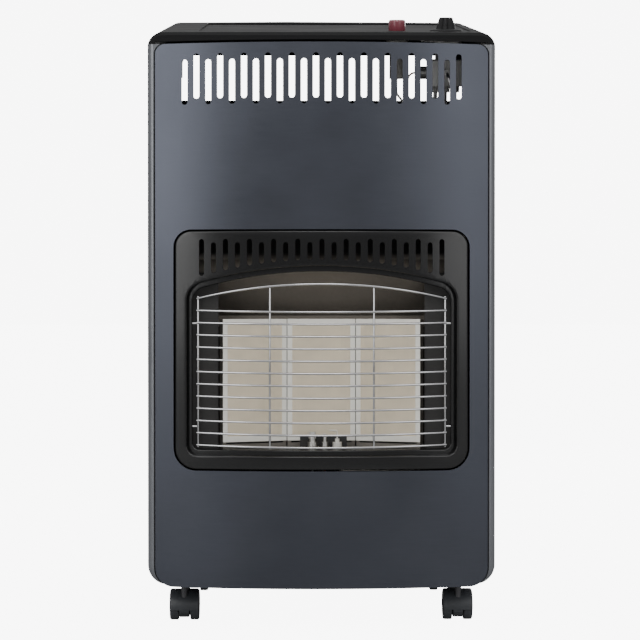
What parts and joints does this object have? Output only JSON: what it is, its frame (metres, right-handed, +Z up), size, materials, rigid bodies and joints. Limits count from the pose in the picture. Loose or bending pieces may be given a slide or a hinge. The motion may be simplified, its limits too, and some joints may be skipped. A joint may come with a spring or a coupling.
{
  "type": "portable gas cabinet heater",
  "caption": "Portable gas cabinet heater with a bowed steel front, ceramic plaque burners behind a chrome guard, a tilting rear cover and twin-wheel casters.",
  "frame": {"origin": "on the floor, under the middle of the overall box", "axes": "+X to the right as one faces the heater, -Y out of the front, +Z up"},
  "size_m": [0.42, 0.3998, 0.78],
  "materials": {
    "brushed steel": "satin",
    "silver paint": "satin",
    "grey paint": "satin",
    "black paint": "satin",
    "black plastic": "matt",
    "grey wheel plastic": "matt",
    "red plastic": "glossy",
    "chrome wire": "polished",
    "heat steel": "dull",
    "bright steel": "bright",
    "plaque ceramic": "matt",
    "electrode ceramic": "glazed",
    "brass": "machined",
    "cast aluminium": "cast",
    "pipe aluminium": "drawn",
    "copper lead": "drawn",
    "cable sheath": "matt",
    "igniter plastic": "matt",
    "catch plastic": "matt"
  },
  "bodies": {
    "cabinet": {"base_tray": "grey paint", "burner_shelf": "heat steel", "caster_stems": "bright steel", "divider_panel": "grey paint", "front_panel": "brushed steel", "gas_injectors": "brass", "gas_valve_body": "cast aluminium", "heat_deflector": "heat steel", "igniter_body": "igniter plastic", "igniter_nut": "igniter plastic", "ignition_cable": "cable sheath", "injector_bracket": "heat steel", "inlet_hose_tail": "brass", "left_burner_casing": "heat steel", "left_gas_pipe": "pipe aluminium", "left_plaque": "plaque ceramic", "left_plaque_frame": "bright steel", "left_side_panel": "silver paint", "left_side_shield": "black paint", "middle_burner_casing": "heat steel", "middle_gas_pipe": "pipe aluminium", "middle_plaque": "plaque ceramic", "middle_plaque_frame": "bright steel", "pilot_bracket": "heat steel", "pilot_burner": "brass", "pilot_pipe": "pipe aluminium", "rear_cover_catches": "catch plastic", "rear_cover_pins": "bright steel", "rear_rail": "grey paint", "right_burner_casing": "heat steel", "right_gas_pipe": "pipe aluminium", "right_plaque": "plaque ceramic", "right_plaque_frame": "bright steel", "right_side_panel": "silver paint", "right_side_shield": "black paint", "spark_electrode": "electrode ceramic", "thermocouple_lead": "copper lead", "thermocouple_probe": "copper lead", "top_cover": "black plastic", "valve_bracket": "heat steel", "window_bezel": "black paint", "wire_guard": "chrome wire"},
    "valve_rotor": {"valve_rotor": "brass"},
    "control_knob": {"control_knob": "black plastic", "valve_spindle": "bright steel"},
    "ignition_button": {"ignition_button": "red plastic"},
    "rear_cover": {"rear_cover": "grey paint"},
    "front_left_caster": {"front_left_caster_hood": "black plastic"},
    "front_left_wheels": {"front_left_caster_wheels": "grey wheel plastic"},
    "front_right_caster": {"front_right_caster_hood": "black plastic"},
    "front_right_wheels": {"front_right_caster_wheels": "grey wheel plastic"},
    "rear_left_caster": {"rear_left_caster_hood": "black plastic"},
    "rear_left_wheels": {"rear_left_caster_wheels": "grey wheel plastic"},
    "rear_right_caster": {"rear_right_caster_hood": "black plastic"},
    "rear_right_wheels": {"rear_right_caster_wheels": "grey wheel plastic"}
  },
  "joints": [
    {"name": "knob_turn", "type": "hinge", "parent": "cabinet", "child": "valve_rotor", "pos_m": [0.153, -0.118, 0.72305], "axis": [0, -0.1685, 0.9857], "range_deg": [0, 210]},
    {"name": "knob_push", "type": "slide", "parent": "valve_rotor", "child": "control_knob", "axis": [0, 0.1685, -0.9857], "range_m": [0, 0.004], "stiffness_N_per_m": 900, "springref_m": -0.003},
    {"name": "button_push", "type": "slide", "parent": "cabinet", "child": "ignition_button", "axis": [0, 0.1685, -0.9857], "range_m": [0, 0.0055], "stiffness_N_per_m": 1200, "springref_m": -0.003},
    {"name": "front_left_swivel", "type": "hinge", "parent": "cabinet", "child": "front_left_caster", "pos_m": [-0.168, -0.124, 0.051], "axis": [0, 0, 1], "continuous": true},
    {"name": "front_left_roll", "type": "hinge", "parent": "front_left_caster", "child": "front_left_wheels", "pos_m": [-0.168, -0.111, 0.018], "axis": [1, 0, 0], "continuous": true},
    {"name": "front_right_swivel", "type": "hinge", "parent": "cabinet", "child": "front_right_caster", "pos_m": [0.168, -0.124, 0.051], "axis": [0, 0, 1], "continuous": true},
    {"name": "front_right_roll", "type": "hinge", "parent": "front_right_caster", "child": "front_right_wheels", "pos_m": [0.168, -0.111, 0.018], "axis": [1, 0, 0], "continuous": true},
    {"name": "rear_left_swivel", "type": "hinge", "parent": "cabinet", "child": "rear_left_caster", "pos_m": [-0.168, 0.124, 0.051], "axis": [0, 0, 1], "continuous": true},
    {"name": "rear_left_roll", "type": "hinge", "parent": "rear_left_caster", "child": "rear_left_wheels", "pos_m": [-0.168, 0.137, 0.018], "axis": [1, 0, 0], "continuous": true},
    {"name": "rear_right_swivel", "type": "hinge", "parent": "cabinet", "child": "rear_right_caster", "pos_m": [0.168, 0.124, 0.051], "axis": [0, 0, 1], "continuous": true},
    {"name": "rear_right_roll", "type": "hinge", "parent": "rear_right_caster", "child": "rear_right_wheels", "pos_m": [0.168, 0.137, 0.018], "axis": [1, 0, 0], "continuous": true},
    {"name": "rear_cover_tilt", "type": "hinge", "parent": "cabinet", "child": "rear_cover", "pos_m": [0, 0.1935, 0.0665], "axis": [-1, 0, 0], "range_deg": [0, 75]}
  ]
}
